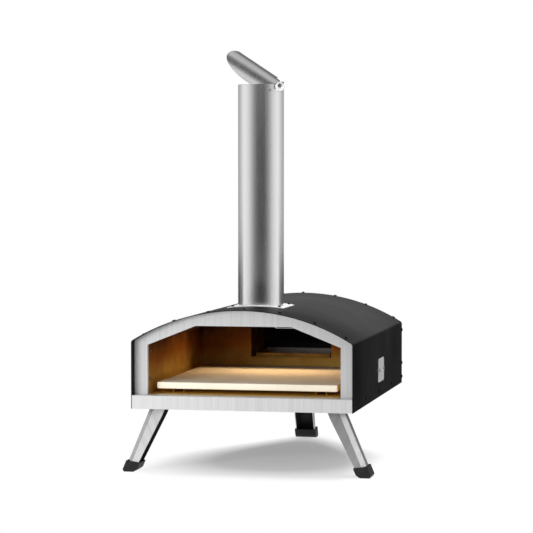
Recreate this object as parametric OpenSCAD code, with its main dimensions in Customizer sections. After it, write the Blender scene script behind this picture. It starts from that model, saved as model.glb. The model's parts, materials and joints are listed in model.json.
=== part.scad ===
// Portable wood fired pizza oven on three folding legs, with a lift-off flue pipe and hinged rain cap.
// Origin: on the ground under the middle of the oven. +Z up, mouth towards -Y, +X to the right.

/* [Body] */
// Width over the two side walls
body_w = 400; // [330:5:480]
// Depth of the outer shell, front edge to back edge
body_d = 590; // [490:5:710]
// Height of the straight side walls
side_h = 121; // [112:1:150]
// Rise of the arched roof above the side walls
roof_rise = 57; // [48:1:70]
// Thickness of the outer shell sheet
shell_t = 1.2; // [0.8:0.1:2]
// Outside radius of the bend between side wall and roof
bend_r = 6; // [4:0.5:10]
// Height of the body above the ground
ground_h = 118; // [100:1:150]

/* [Liner and insulation] */
// Thickness of the inner sheets
liner_t = 1; // [0.8:0.1:1.5]
// Insulation between shell and liner at the sides
ins_side = 20; // [14:1:24]
// Insulation between shell and liner under the roof
ins_roof = 14; // [10:1:16]
// Inside bend radius of the liner
liner_r = 3; // [2:0.5:6]
// Gap left between loose fitted parts
fit_gap = 0.3; // [0.2:0.05:0.5]

/* [Base] */
// Height of the apron under the mouth
apron_h = 24; // [20:1:32]
// How far the base pan sits above the foot of the side walls
pan_recess = 17; // [16.5:0.5:20]
// Thickness of the base pan
pan_t = 1.2; // [0.8:0.1:2]
// Depth of the base pan's side flanges
pan_flange = 15; // [12:1:16]

/* [Front] */
// How far the arch panel is set back from the shell's front edge
recess = 20; // [10:1:30]
// Thickness of the arch panel and apron
front_t = 1.2; // [0.8:0.1:2]
// Width of the posts beside the mouth
post_w = 25; // [23:1:32]
// Height of steel over the middle of the mouth
header_h = 30; // [22:1:40]
// How far the mouth's side corners lie below the shoulder
corner_drop = 8; // [7:0.5:14]
// Width of each slanted corner of the mouth
slant_w = 88; // [60:1:110]
// Depth of the turned-back edges
flange_d = 14; // [10:1:18]
// Depth of the ledge at the apron's top
ledge_d = 35; // [30:1:45]

/* [Stone] */
// Thickness of the pizza stone
stone_t = 12; // [10:0.5:16]
// Gap between the stone and each chamber wall
stone_gap = 13; // [8:1:20]
// Set-back of the stone from the shell's front edge
stone_front = 48; // [42:1:60]
// Gap between the stone and the back wall
stone_back = 40; // [20:1:70]
// Height of the rails under the stone
rail_h = 8; // [6:0.5:12]
// Width of a rail
rail_w = 20; // [14:1:26]
// Distance of each rail from the stone's side edge
rail_in = 24; // [15:1:40]
// Distance of the rails' ends from the stone's front and back edges
rail_end = 24; // [4:1:60]

/* [Firebox and fuel tray] */
// Depth of the firebox behind the chamber's back wall
firebox_d = 132; // [110:1:150]
// Inside width of the firebox
firebox_w = 164; // [150:1:190]
// Inside height of the firebox
firebox_h = 114; // [104:1:118]
// Height of the flame window's sill above the floor
window_sill = 34; // [25:1:45]
// Height of the flame window
window_h = 72; // [60:1:76]
// Inset of the rear panel from the shell's back edge
rear_in = 2; // [1:0.5:4]
// Outside width of the fuel tray
tray_w = 148; // [130:1:148]
// Outside depth of the fuel tray
tray_d = 112; // [90:1:112]
// Height of the fuel tray
tray_h = 36; // [28:1:40]
// Height of the tray runners
runner_h = 4; // [3:0.5:6]
// Radius of the holes in the tray's floor
air_hole_r = 3; // [2:0.25:3.5]
// Holes across the tray
air_cols = 9; // [5:1:11]
// Holes along the tray
air_rows = 6; // [4:1:8]
// Width of the face plate of the fuel tray
face_w = 176; // [165:1:190]
// Reach of the tray's handle behind the face plate
handle_reach = 42; // [32:1:50]
// Width between the handle's legs
handle_w = 96; // [70:1:120]
// Radius of the handle wire
wire_r = 3; // [2.5:0.25:4]
// Radius of the handle's grip
grip_r = 8; // [6:0.5:10]

/* [Fuel chute] */
// Outside width of the fuel chute
chute_w = 132; // [110:1:140]
// Reach of the chute behind the rear panel
chute_d = 34; // [28:1:40]
// Height of the chute on the rear panel
chute_h = 62; // [56:1:66]
// Height of the upright lip at the chute's outer edge
chute_lip = 10; // [8:1:14]
// Radius of the lid's pin
lid_pin_r = 2; // [1.5:0.25:2.5]

/* [Flue] */
// Distance of the flue's axis behind the shell's front edge
flue_back = 172; // [150:1:200]
// Outside diameter of the flue pipe
pipe_od = 84; // [70:1:100]
// Wall of the flue pipe
pipe_t = 1; // [0.8:0.1:1.5]
// Length of the flue pipe
pipe_len = 401; // [330:1:480]
// Gap between the flue pipe and its collar
collar_gap = 0.5; // [0.4:0.1:0.8]
// Height of the collar above the roof
collar_h = 42; // [30:1:60]
// Side of the square flange under the pipe
plate_w = 104; // [100:1:140]

/* [Rain cap] */
// Slope of the cap's crest where it rests on the pipe's rim
cap_open = 33.5; // [10:0.5:60]
// Distance of the cap's hinge inside the pipe's outer wall
hinge_in = 1; // [0:0.5:8]
// Depth of the cap's hinge below the pipe's rim
hinge_drop = 3; // [3:0.5:6]
// Height of the cap's crest above its hinge
crest_h = 8; // [7.5:0.5:14]
// Reach of the cap from its hinge
cap_reach = 113; // [95:1:130]
// Depth of the cap below its crest
cap_drop = 34.5; // [30:0.5:40]
// Radius of the bend at the cap's free end
nose_r = 11; // [8:1:14]
// Length of the curved lower corner of each flank at the free end
heel_len = 60; // [30:1:75]
// Gap between the cap and the pipe
cap_gap = 1; // [0.8:0.1:2]
// Thickness of the cap sheet
cap_t = 1; // [0.8:0.1:1.5]
// Radius of the cap's pin
cap_pin_r = 2.5; // [2:0.25:3]

/* [Legs] */
// Outward lean of the legs in degrees
leg_splay = 22.7; // [15:0.1:28]
// Distance of each front leg's pivot from the side wall
leg_in = 39; // [34:1:60]
// Distance of the front legs behind the shell's front edge
front_leg_back = 57; // [50:1:110]
// Distance of the rear leg's pivot ahead of the shell's back edge
rear_leg_in = 20; // [20:1:110]
// Width of the leg channel
leg_w = 38; // [34:1:44]
// Depth of the leg channel at the pivot
leg_top = 27; // [26:0.5:29]
// Depth of the leg channel at the foot
leg_end = 19; // [17:0.5:22]
// Slanted corner of the leg channel
leg_corner = 8; // [6:0.5:9]
// Thickness of the leg sheet
leg_t = 1.5; // [1.2:0.1:2]
// Radius of the leg pins
leg_pin_r = 3; // [2.5:0.25:3.5]
// Wall of the rubber feet
foot_wall = 2.2; // [1.8:0.1:3]
// Depth of the socket in the rubber feet
socket_d = 9; // [6:0.5:10]

/* [Badge and screws] */
// Width of the blank badge on the right side wall
badge_w = 64; // [40:1:80]
// Height of the blank badge
badge_h = 44; // [30:1:50]
// Distance of the badge's middle behind the shell's front edge
badge_back = 316; // [250:1:350]
// Radius of the screw heads
head_r = 3.4; // [2.5:0.1:4]
// Height of the screw heads
head_h = 2; // [1.5:0.1:2.5]
// Radius of the screw shanks
shank_r = 1.9; // [1.5:0.1:2]
// Running clearance of the pins in their holes
pin_gap = 0.06; // [0.02:0.01:0.1]

/* [Hidden] */
$fn = 64;
SEAT = 0.03;
BIG = 2000;
// Places along Y
overall_d = body_d - rear_in + 2 * front_t + handle_reach + grip_r + fit_gap;
front_y = -overall_d / 2;
back_y = front_y + body_d;
panel_y = back_y - rear_in;
arch_y = front_y + recess;
wall_y = panel_y - firebox_d;
flue_y = front_y + flue_back;
// Arched outline
half_w = body_w / 2;
shoulder_z = ground_h + side_h;
apex_z = shoulder_z + roof_rise;
arc_r = (half_w * half_w + roof_rise * roof_rise) / (2 * roof_rise);
arc_z = apex_z - arc_r;
// Stack of the base
sill_z = ground_h + apron_h;
pan_z = ground_h + pan_recess;
board_z = pan_z + pan_t;
floor_z = sill_z - front_t;
wall_in = shell_t + ins_side + liner_t;
roof_in = shell_t + ins_roof + liner_t;
chamber_hw = half_w - wall_in;
// Mouth
mouth_hw = half_w - post_w;
mouth_side_z = shoulder_z - corner_drop;
mouth_top_z = apex_z - header_h;
// Stone
stone_hw = chamber_hw - stone_gap;
stone_z = sill_z + rail_h;
stone_y = front_y + stone_front;
stone_d = wall_y - stone_back - stone_y;
// Fuel tray
tray_z = sill_z + runner_h + fit_gap;
tray_back = panel_y - 1;
slot_w = tray_w + 4;
slot_top = tray_z + tray_h + 2;
face_y = panel_y + front_t + fit_gap;
grip_y = face_y + front_t + handle_reach;
grip_z = tray_z + tray_h / 2 + 1;
face_top = slot_top + 4;
// Fuel chute
chute_z = face_top + 3;
chute_rise = 22;
hinge_r = 3.6;
hinge_y = panel_y + hinge_r + 1.2;
hinge_z = chute_z + chute_h + hinge_r;
lip_y = panel_y + chute_d;
lip_z = chute_z + chute_rise + chute_lip;
lid_hw = chute_w / 2 - front_t - 0.5;
lid_angle = atan2(hinge_z - lip_z, lip_y - hinge_y);
lid_len = norm([hinge_z - lip_z, lip_y - hinge_y]);
knob_r = 8;
// Flue
pipe_r = pipe_od / 2;
plate_t = 1.2;
collar_r = pipe_r - pipe_t - collar_gap;
pipe_z = apex_z + plate_t + fit_gap;
rim_z = pipe_z + pipe_len;
// Rain cap, in its own frame: u towards the free end, w up, with the hinge at 0,0
pin_z = rim_z - hinge_drop;
hinge_out = pipe_r - hinge_in;
vault_r = pipe_r + cap_gap + cap_t;
vault_w = crest_h - vault_r;
rim_lift = hinge_drop + fit_gap;
yoke_r = 6;
yoke_in = sqrt(pipe_r * pipe_r - pow(hinge_out - yoke_r, 2)) + 3;
yoke_len = 12;
cap_start = 5;
strap_end = 1.5;
ear_in = yoke_in + cap_t + fit_gap;
ear_t = 1.5;
ear_hw_cap = 8.5;
web_x = pipe_r + fit_gap;
// Legs
pivot_z = ground_h + 1;
pivot_x = half_w - leg_in;
leg_o = leg_top / 2;
sole_in = leg_end - leg_o + fit_gap + foot_wall;
sole_out = leg_o + fit_gap + foot_wall;
socket_floor = 20 - socket_d;
leg_len = (pivot_z - socket_floor) / cos(leg_splay);
foot_w = leg_w + 2 * (fit_gap + foot_wall);
ear_r = 6.5;
ear_hw = leg_w / 2 - leg_t * sqrt(2) - ear_r + leg_o - leg_corner - 2 * fit_gap;
boss_hw = leg_w / 2 - leg_t - fit_gap;
// Screw places
roof_xs = [0, 65, 128, 184];
edge_in = 8;

STEEL = [0.78, 0.78, 0.79];
BLACK = [0.12, 0.12, 0.13];
GOLD = [0.72, 0.58, 0.34];
CREAM = [0.94, 0.91, 0.82];
RUBBER = [0.09, 0.09, 0.09];
DARK = [0.2, 0.2, 0.21];
WOOL = [0.9, 0.89, 0.85];

// Points of an arch: two uprights from height z0, bends of radius r and a round roof,
// set in from the outer skin by side and roof
function arch(side, roof, z0, r) =
  let (hw = half_w - side, rr = arc_r - roof, fx = hw - r,
       fz = arc_z + sqrt((rr - r) * (rr - r) - fx * fx),
       a = atan2(fz - arc_z, fx))
  concat(
    [[hw, z0]],
    [for (i = [0:8]) [fx + r * cos(a * i / 8), fz + r * sin(a * i / 8)]],
    [for (i = [1:47]) let (t = a + (180 - 2 * a) * i / 48) [rr * cos(t), arc_z + rr * sin(t)]],
    [for (i = [0:8]) let (t = a + (180 - a - a) + a * i / 8) [-fx + r * cos(t), fz + r * sin(t)]],
    [[-hw, z0]]
  );

// Height of the roof's outer skin at x
function roof_z(x) = arc_z + sqrt(arc_r * arc_r - x * x);

// Extrudes an X-Z outline along Y, from y by length len
module along_y(y, len) {
  translate([0, y + len, 0]) rotate([90, 0, 0]) linear_extrude(len) children();
}

// Extrudes a Y-Z outline along X, centred
module along_x(len) {
  rotate([90, 0, 90]) linear_extrude(len, center = true) children();
}

module box(x0, x1, y0, y1, z0, z1) {
  translate([x0, y0, z0]) cube([x1 - x0, y1 - y0, z1 - z0]);
}

// A sheet arch between two insets, from y by length len
module arch_sheet(y, len, side_a, roof_a, side_b, roof_b, z0, r_a, r_b) {
  difference() {
    along_y(y, len) polygon(arch(side_a, roof_a, z0, r_a));
    along_y(y - 1, len + 2) polygon(arch(side_b, roof_b, z0 - 1, r_b));
  }
}

// Screw with its seat at the origin and its head up +Z
module screw(shank) {
  cylinder(h = head_h, r1 = head_r, r2 = head_r * 0.72);
  translate([0, 0, -shank]) cylinder(h = shank + head_h / 2, r = shank_r);
}

module screw_hole(shank) {
  translate([0, 0, -shank - 1]) cylinder(h = shank + 2, r = shank_r + 0.1);
}

// Puts children on the roof's skin at x, y, upright to it
module on_roof(x, y) {
  translate([x, y, roof_z(x)]) rotate([0, asin(x / arc_r), 0]) children();
}

module at_roof_screws() {
  for (x = roof_xs, s = [-1, 1])
    if (x > 0 || s > 0) {
      on_roof(s * x, arch_y + front_t + edge_in - 2) children();
      on_roof(s * x, back_y - edge_in) children();
    }
}

// Side wall screws: pan flange below, rear panel flange behind
module at_side_screws() {
  for (s = [-1, 1]) {
    for (f = [0.25, 0.51, 0.76])
      translate([s * half_w, front_y + f * body_d, ground_h + 11]) rotate([0, s * 90, 0]) children();
    for (h = [13, 41, 106])
      translate([s * half_w, back_y - edge_in, ground_h + h]) rotate([0, s * 90, 0]) children();
  }
}

module at_plate_screws() {
  d = plate_w / 2 - 9;
  for (x = [-d, d], y = [-d, d]) {
    translate([x, flue_y + y, roof_z(x)])
      rotate([0, asin(x / arc_r), 0]) translate([0, 0, plate_t]) children();
  }
}

module at_floor_screws() {
  for (x = [-1, 1], y = [12, 30])
    translate([x * (y == 12 ? chamber_hw - 72 : chamber_hw - 20), arch_y + ledge_d + y - recess, sill_z])
      children();
}

module at_wall_screws() {
  for (s = [-1, 1], z = [26, 76])
    translate([s * chamber_hw, arch_y + 28, sill_z + z]) rotate([0, -s * 90, 0]) children();
}

module at_rear_screws() {
  for (x = [-1, 1], z = [8, chute_h - 10])
    translate([x * (chute_w / 2 + 6), panel_y + front_t, chute_z + z]) rotate([-90, 0, 0]) children();
}

module outer_shell() {
  color(BLACK) difference() {
    arch_sheet(front_y, body_d, 0, 0, shell_t, shell_t, ground_h, bend_r, bend_r - shell_t);
    translate([0, flue_y, apex_z - 30]) cylinder(h = 60, r = collar_r + fit_gap);
    at_roof_screws() screw_hole(6);
    at_side_screws() screw_hole(6);
    at_plate_screws() screw_hole(6);
    translate([half_w, front_y + badge_back, ground_h + 50]) badge_places() screw_hole(6);
  }
}

module insulation_blanket() {
  g = fit_gap;
  color(WOOL) difference() {
    arch_sheet(arch_y + flange_d + 6, wall_y - arch_y - flange_d - 6, shell_t + 5, shell_t + 5,
               wall_in - liner_t - g, roof_in - liner_t - g, board_z + 2, bend_r, liner_r + liner_t + g);
    translate([0, flue_y, apex_z - 40]) cylinder(h = 60, r = collar_r + 1);
    at_wall_screws() screw_hole(4);
  }
}

module inner_liner() {
  color(GOLD) difference() {
    arch_sheet(arch_y + front_t + 0.2, panel_y - arch_y - front_t - 0.2 - fit_gap,
               wall_in - liner_t, roof_in - liner_t, wall_in, roof_in, board_z, liner_r + liner_t, liner_r);
    translate([0, flue_y, apex_z - 40]) cylinder(h = 60, r = collar_r + fit_gap);
    at_wall_screws() screw_hole(4);
  }
}

module base_pan() {
  hw = half_w - shell_t;
  y0 = front_y + front_t + fit_gap;
  y1 = panel_y - fit_gap;
  color(BLACK) difference() {
    box(-hw, hw, y0, y1, board_z - pan_flange - pan_t, board_z);
    box(-hw + pan_t, hw - pan_t, y0 - 1, y1 + 1, 0, pan_z);
    at_side_screws() screw_hole(6);
  }
}

module base_board() {
  hw = chamber_hw - fit_gap;
  color(WOOL) difference() {
    box(-hw, hw, front_y + front_t + 2, panel_y - fit_gap - 1, board_z, floor_z);
    at_floor_screws() screw_hole(4);
  }
}

module inner_floor() {
  hw = chamber_hw - fit_gap;
  color(GOLD) difference() {
    box(-hw, hw, front_y + ledge_d, panel_y - fit_gap - 1, floor_z, sill_z);
    at_floor_screws() screw_hole(4);
  }
}

module mouth_shape(grow) {
  g = grow;
  polygon([
    [-mouth_hw - g, sill_z - 1], [mouth_hw + g, sill_z - 1], [mouth_hw + g, mouth_side_z + g],
    [mouth_hw - slant_w + g / 2, mouth_top_z + g], [-mouth_hw + slant_w - g / 2, mouth_top_z + g],
    [-mouth_hw - g, mouth_side_z + g]
  ]);
}

module front_arch() {
  s = shell_t;
  color(STEEL) difference() {
    union() {
      along_y(arch_y, front_t) polygon(arch(s, s, sill_z, bend_r - s));
      arch_sheet(arch_y, flange_d, s, s, s + front_t, s + front_t, sill_z,
                 bend_r - s, bend_r - s - front_t);
      along_y(arch_y, 9) intersection() {
        mouth_shape(front_t);
        polygon(arch(wall_in + fit_gap, roof_in + fit_gap, sill_z, liner_r));
      }
    }
    along_y(arch_y - 1, 12) mouth_shape(0);
    at_roof_screws() screw_hole(6);
  }
}

module front_apron() {
  hw = half_w - shell_t;
  color(STEEL) {
    difference() {
      box(-hw, hw, front_y, front_y + ledge_d, ground_h, sill_z);
      box(-BIG, BIG, front_y + front_t, front_y + BIG, ground_h + front_t, floor_z);
      box(-BIG, BIG, front_y + 12, front_y + BIG, 0, ground_h + 2 * front_t);
      box(chamber_hw - fit_gap, BIG, arch_y + front_t, front_y + BIG, 0, BIG);
      box(-BIG, -chamber_hw + fit_gap, arch_y + front_t, front_y + BIG, 0, BIG);
    }
  }
}

module rear_panel() {
  s = shell_t;
  t = front_t;
  color(BLACK) difference() {
    union() {
      along_y(panel_y, t) polygon(arch(s, s, ground_h, bend_r - s));
      arch_sheet(panel_y - flange_d, flange_d + t, s, s, s + t, s + t, board_z, bend_r - s, bend_r - s - t);
    }
    box(-slot_w / 2, slot_w / 2, panel_y - 1, panel_y + 3, sill_z + runner_h - 1, slot_top);
    box(-lid_hw, lid_hw, panel_y - 1, panel_y + 3, chute_z + 4, chute_z + chute_h - 8);
    at_roof_screws() screw_hole(6);
    at_side_screws() screw_hole(6);
    at_rear_screws() screw_hole(4);
  }
}

module back_wall() {
  s = wall_in + fit_gap;
  r = roof_in + fit_gap;
  color(GOLD) difference() {
    along_y(wall_y, liner_t) polygon(arch(s, r, sill_z, liner_r));
    box(-firebox_w / 2 + 2, firebox_w / 2 - 2, wall_y - 1, wall_y + 3,
        sill_z + window_sill, sill_z + window_sill + window_h);
  }
}

// Bent tunnel from the back wall to the rear panel
module firebox() {
  hw = firebox_w / 2;
  y0 = wall_y + liner_t;
  y1 = panel_y - fit_gap;
  color(GOLD) difference() {
    box(-hw - liner_t, hw + liner_t, y0, y1, sill_z, sill_z + firebox_h);
    box(-hw, hw, y0 - 1, y1 + 1, sill_z - 1, sill_z + firebox_h - liner_t);
  }
}

// Channel rail, open side down
module stone_rail(side) {
  x = side * (stone_hw - rail_in - rail_w / 2);
  color(GOLD) difference() {
    box(x - rail_w / 2, x + rail_w / 2, stone_y + rail_end, stone_y + stone_d - rail_end, sill_z, stone_z);
    box(x - rail_w / 2 + 1, x + rail_w / 2 - 1, stone_y, stone_y + stone_d, sill_z - 1, stone_z - 1);
  }
}

module pizza_stone() {
  color(CREAM) box(-stone_hw, stone_hw, stone_y, stone_y + stone_d, stone_z + 0.2, stone_z + 0.2 + stone_t);
}

// Angle runner: floor leg under the tray, upright leg beside it
module tray_runner(side) {
  x = tray_w / 2 + 1;
  y0 = wall_y + liner_t + 4;
  y1 = panel_y - fit_gap;
  color(GOLD) mirror([side < 0 ? 1 : 0, 0, 0]) {
    box(x - 8, x + 1.2, y0, y1, sill_z, sill_z + runner_h);
    box(x, x + 1.2, y0, y1, sill_z, sill_z + runner_h + 10);
  }
}

module fuel_tray() {
  hw = tray_w / 2;
  y0 = tray_back - tray_d;
  px = (tray_w - 20) / (air_cols - 1);
  py = (tray_d - 24) / (air_rows - 1);
  color(STEEL) difference() {
    box(-hw, hw, y0, face_y, tray_z, tray_z + tray_h);
    box(-hw + 1, hw - 1, y0 + 1, face_y + 1, tray_z + 1, tray_z + tray_h + 1);
    for (i = [0:air_cols - 1], j = [0:air_rows - 1])
      translate([-hw + 10 + i * px, y0 + 12 + j * py, tray_z - 1]) cylinder(h = 3, r = air_hole_r, $fn = 24);
  }
}

module tray_face() {
  hw = face_w / 2;
  color(STEEL) difference() {
    box(-hw, hw, face_y, face_y + front_t, sill_z - 1, face_top);
    for (s = [-1, 1])
      translate([s * handle_w / 2, face_y - 1, grip_z]) rotate([-90, 0, 0]) cylinder(h = 4, r = wire_r);
  }
}

// Wire handle with a straight cross bar inside the grip
module tray_handle() {
  color(STEEL) {
    for (s = [-1, 1])
      translate([s * handle_w / 2, face_y, grip_z]) rotate([-90, 0, 0])
        cylinder(h = grip_y + wire_r - face_y, r = wire_r);
    translate([-handle_w / 2, grip_y, grip_z]) rotate([0, 90, 0]) cylinder(h = handle_w, r = wire_r - 0.2);
  }
}

module handle_grip() {
  len = handle_w - 2 * wire_r - 2;
  color(DARK) translate([-len / 2, grip_y, grip_z]) rotate([0, 90, 0]) difference() {
    cylinder(h = len, r = grip_r);
    translate([0, 0, -1]) cylinder(h = len + 2, r = wire_r);
  }
}

// Cheeks, sloping floor and upright lip, open at the top for the lid
module fuel_chute() {
  t = front_t;
  y0 = panel_y + t;
  hw = chute_w / 2;
  color(BLACK) {
    difference() {
      union() {
        for (s = [-1, 1])
          translate([s * (hw - t / 2), 0, 0]) along_x(t) polygon([
            [y0, chute_z], [lip_y, chute_z + chute_rise], [lip_y, lip_z - t],
            [hinge_y + 9, hinge_z - 4], [hinge_y + 3, hinge_z + hinge_r], [y0, hinge_z + hinge_r]
          ]);
        along_x(chute_w - 2 * t) polygon([
          [y0, chute_z], [lip_y, chute_z + chute_rise], [lip_y, lip_z - 2 * t],
          [lip_y - t, lip_z - 2 * t], [lip_y - t, chute_z + chute_rise + 1], [y0, chute_z + 1.6]
        ]);
        for (s = [-1, 1])
          translate([s * (hw + 6), 0, 0]) along_x(12)
            polygon([[y0, chute_z], [y0 + t, chute_z], [y0 + t, hinge_z - 6], [y0, hinge_z - 6]]);
      }
      translate([0, hinge_y, hinge_z]) rotate([0, 90, 0])
        cylinder(h = chute_w + 10, r = lid_pin_r + pin_gap, center = true);
      at_rear_screws() translate([0, 0, t]) screw_hole(5);
    }
  }
}

// Puts children in the lid's frame: hinge at the origin, plate running down the slope along +Y
module lid_frame() {
  translate([0, hinge_y, hinge_z]) rotate([-lid_angle, 0, 0]) children();
}

module chute_lid() {
  t = front_t;
  color(BLACK) lid_frame() difference() {
    union() {
      rotate([0, 90, 0]) cylinder(h = 2 * lid_hw, r = hinge_r - 0.4, center = true);
      box(-lid_hw, lid_hw, 0, lid_len + 3, hinge_r - 0.4 - t, hinge_r - 0.4);
      box(-lid_hw, lid_hw, lid_len + 3 - t, lid_len + 3, 0, hinge_r - 0.4);
    }
    rotate([0, 90, 0]) cylinder(h = 4 * lid_hw, r = lid_pin_r + pin_gap, center = true);
    translate([0, lid_len * 0.6, -5]) cylinder(h = 15, r = shank_r);
  }
}

module lid_pin() {
  color(STEEL) translate([0, hinge_y, hinge_z]) rotate([0, 90, 0]) {
    cylinder(h = chute_w + 4, r = lid_pin_r, center = true);
    for (s = [-1, 1])
      translate([0, 0, s * (chute_w / 2 + 1.5)]) cylinder(h = 2, r = lid_pin_r + 1.4, center = true);
  }
}

module lid_knob() {
  top = hinge_r - 0.4;
  color(DARK) lid_frame() translate([0, lid_len * 0.6, 0]) {
    translate([0, 0, -1]) cylinder(h = top + 3, r = shank_r);
    translate([0, 0, top]) cylinder(h = 7, r1 = 4.5, r2 = 3.5);
    translate([0, 0, top + 6.8]) cylinder(h = 9, r1 = knob_r - 1, r2 = knob_r);
  }
}

// Square plate that follows the roof
module flue_plate() {
  hw = plate_w / 2;
  n = 16;
  top = [for (i = [0:n]) let (x = -hw + plate_w * i / n) [x, roof_z(x) + plate_t]];
  low = [for (i = [n:-1:0]) let (x = -hw + plate_w * i / n) [x, roof_z(x) + SEAT]];
  color(STEEL) difference() {
    along_y(flue_y - hw, plate_w) polygon(concat(low, top));
    translate([0, flue_y, apex_z - 40]) cylinder(h = 60, r = collar_r + fit_gap);
    at_plate_screws() screw_hole(6);
  }
}

module flue_collar() {
  color(STEEL) translate([0, flue_y, 0]) {
    difference() {
      translate([0, 0, apex_z - roof_in - 2]) cylinder(h = roof_in + 2 + collar_h, r = collar_r);
      translate([0, 0, apex_z - 60]) cylinder(h = 200, r = collar_r - 1);
    }
    translate([0, 0, apex_z - roof_in - 8]) difference() {
      cylinder(h = 2, r = collar_r + 5);
      translate([0, 0, -1]) cylinder(h = 4, r = collar_r - 1);
    }
    translate([0, 0, apex_z - roof_in - 7]) difference() {
      cylinder(h = 7, r = collar_r);
      translate([0, 0, -1]) cylinder(h = 9, r = collar_r - 1);
    }
  }
}

module at_hinge() {
  translate([hinge_out, flue_y, pin_z]) children();
}

module flue_pipe() {
  color(STEEL) difference() {
    translate([0, flue_y, pipe_z]) cylinder(h = pipe_len, r = pipe_r, $fn = 128);
    translate([0, flue_y, pipe_z - 1]) cylinder(h = pipe_len + 2, r = pipe_r - pipe_t, $fn = 128);
  }
}

// Strap round the near right of the pipe's rim, with an ear beside the cap's
module cap_bracket() {
  e = ear_hw_cap;
  low = pin_z - 10;
  color(STEEL) difference() {
    union() {
      translate([0, flue_y - ear_in, 0]) rotate([90, 0, 0]) linear_extrude(ear_t) {
        translate([hinge_out, pin_z - 2]) circle(r = e);
        translate([hinge_out - e, low]) square([e, 4]);
      }
      intersection() {
        translate([0, flue_y, low]) difference() {
          cylinder(h = 4, r = web_x + ear_t, $fn = 128);
          translate([0, 0, -1]) cylinder(h = 6, r = web_x, $fn = 128);
        }
        box(0, BIG, flue_y - ear_in - 8, flue_y - 4, 0, BIG);
      }
    }
    at_hinge() rotate([90, 0, 0]) cylinder(h = BIG, r = cap_pin_r, center = true);
  }
}

module cap_pin() {
  end = yoke_in - 5;
  out = ear_in + ear_t;
  color(STEEL) at_hinge() rotate([90, 0, 0]) {
    translate([0, 0, end]) cylinder(h = out + 1 - end, r = cap_pin_r);
    translate([0, 0, out]) cylinder(h = 3, r1 = 4.6, r2 = 3.6);
  }
}

module cap_nut() {
  color(STEEL) at_hinge() rotate([90, 0, 0]) translate([0, 0, yoke_in - fit_gap - 4]) difference() {
    cylinder(h = 4, r = 4.8, $fn = 6);
    translate([0, 0, -1]) cylinder(h = 6, r = cap_pin_r);
  }
}

// Puts children, drawn with u along -X and w along +Z, at the cap's slope
module cap_frame() {
  at_hinge() rotate([0, cap_open, 0]) children();
}

// Points of an arc of half axes a and b round x, z
function bend(x, z, a, b, from, to) =
  [for (i = [0:16]) let (t = from + (to - from) * i / 16) [x + a * cos(t), z + b * sin(t)]];

// Side view of the cap, without its lower trim
module cap_side() {
  low = crest_h - cap_drop;
  heel = cap_drop - nose_r;
  polygon(concat([[4, low], [4, crest_h]],
                 bend(nose_r - cap_reach, crest_h - nose_r, nose_r, nose_r, 90, 180),
                 bend(heel_len - cap_reach, low + heel, heel_len, heel, 180, 270)));
}

// Side view of the room under the cap, open below and at the free end under the bend
module cap_room() {
  t = cap_t;
  deep = cap_drop + 20;
  translate([nose_r - cap_reach, crest_h - t - deep]) square([cap_reach + 4 + t - nose_r, deep]);
  translate([-cap_reach - 1, crest_h - nose_r - deep]) square([nose_r + 2, deep]);
  translate([nose_r - cap_reach, crest_h - nose_r]) circle(r = nose_r - t);
}

module vault(r) {
  translate([-cap_reach - 10, 0, vault_w]) rotate([0, 90, 0]) cylinder(h = cap_reach + 30, r = r, $fn = 128);
}

module rain_cap() {
  color(STEEL) cap_frame() difference() {
    intersection() {
      vault(vault_r);
      along_y(-100, 200) cap_side();
    }
    intersection() {
      vault(vault_r - cap_t);
      along_y(-100, 200) cap_room();
    }
    box(-cap_start, 50, -100, 100, -100, 100);
    rotate([0, -cap_open, 0]) box(-58, 60, -100, 100, -100, rim_lift);
  }
}

// Strap over the cap's crest with an ear down its near side to the pin
module cap_yoke() {
  t = cap_t;
  u = fit_gap - cap_start;
  color(STEEL) cap_frame() difference() {
    union() {
      box(-yoke_len, -strap_end, -yoke_in - t, yoke_len, crest_h, crest_h + t);
      along_y(-yoke_in - t, t) {
        polygon([[u, 0], [u, crest_h + t / 2], [-strap_end, crest_h + t / 2], [yoke_r, 0]]);
        intersection() {
          circle(r = yoke_r);
          translate([u, -BIG / 2]) square(BIG);
        }
      }
    }
    rotate([90, 0, 0]) cylinder(h = BIG, r = cap_pin_r + pin_gap, center = true);
  }
}

// Puts children, drawn for a pivot at the origin with outward along -X, at one of the three pivots
module at_leg(which) {
  if (which == "left") translate([-pivot_x, front_y + front_leg_back, pivot_z]) children();
  if (which == "right") translate([pivot_x, front_y + front_leg_back, pivot_z]) mirror([1, 0, 0]) children();
  if (which == "rear") translate([0, back_y - rear_leg_in, pivot_z]) rotate([0, 0, -90]) children();
}

module leg(which) {
  o = leg_o;
  w = leg_w / 2;
  c = leg_corner;
  t = leg_t;
  k = t * (sqrt(2) - 1);
  n = leg_end - o;
  color(STEEL) at_leg(which) rotate([0, leg_splay, 0]) difference() {
    intersection() {
      translate([0, 0, -leg_len]) linear_extrude(leg_len + o) polygon([
        [o, w], [-o + c, w], [-o, w - c], [-o, c - w], [-o + c, -w], [o, -w],
        [o, t - w], [-o + c + k, t - w], [-o + t, c - w + k],
        [-o + t, w - c - k], [-o + c + k, w - t], [o, w - t]
      ]);
      translate([0, w + 1, 0]) rotate([90, 0, 0]) linear_extrude(leg_w + 2) {
        polygon([[-o - 1, 0], [-o - 1, -leg_len - 1], [n, -leg_len - 1], [o, -leg_len * 0.1], [o, 0]]);
        intersection() {
          circle(r = o - 0.3);
          translate([-o + c + k, -1]) square(BIG);
        }
      }
    }
    rotate([90, 0, 0]) cylinder(h = 100, r = leg_pin_r + pin_gap, center = true);
  }
}

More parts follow.
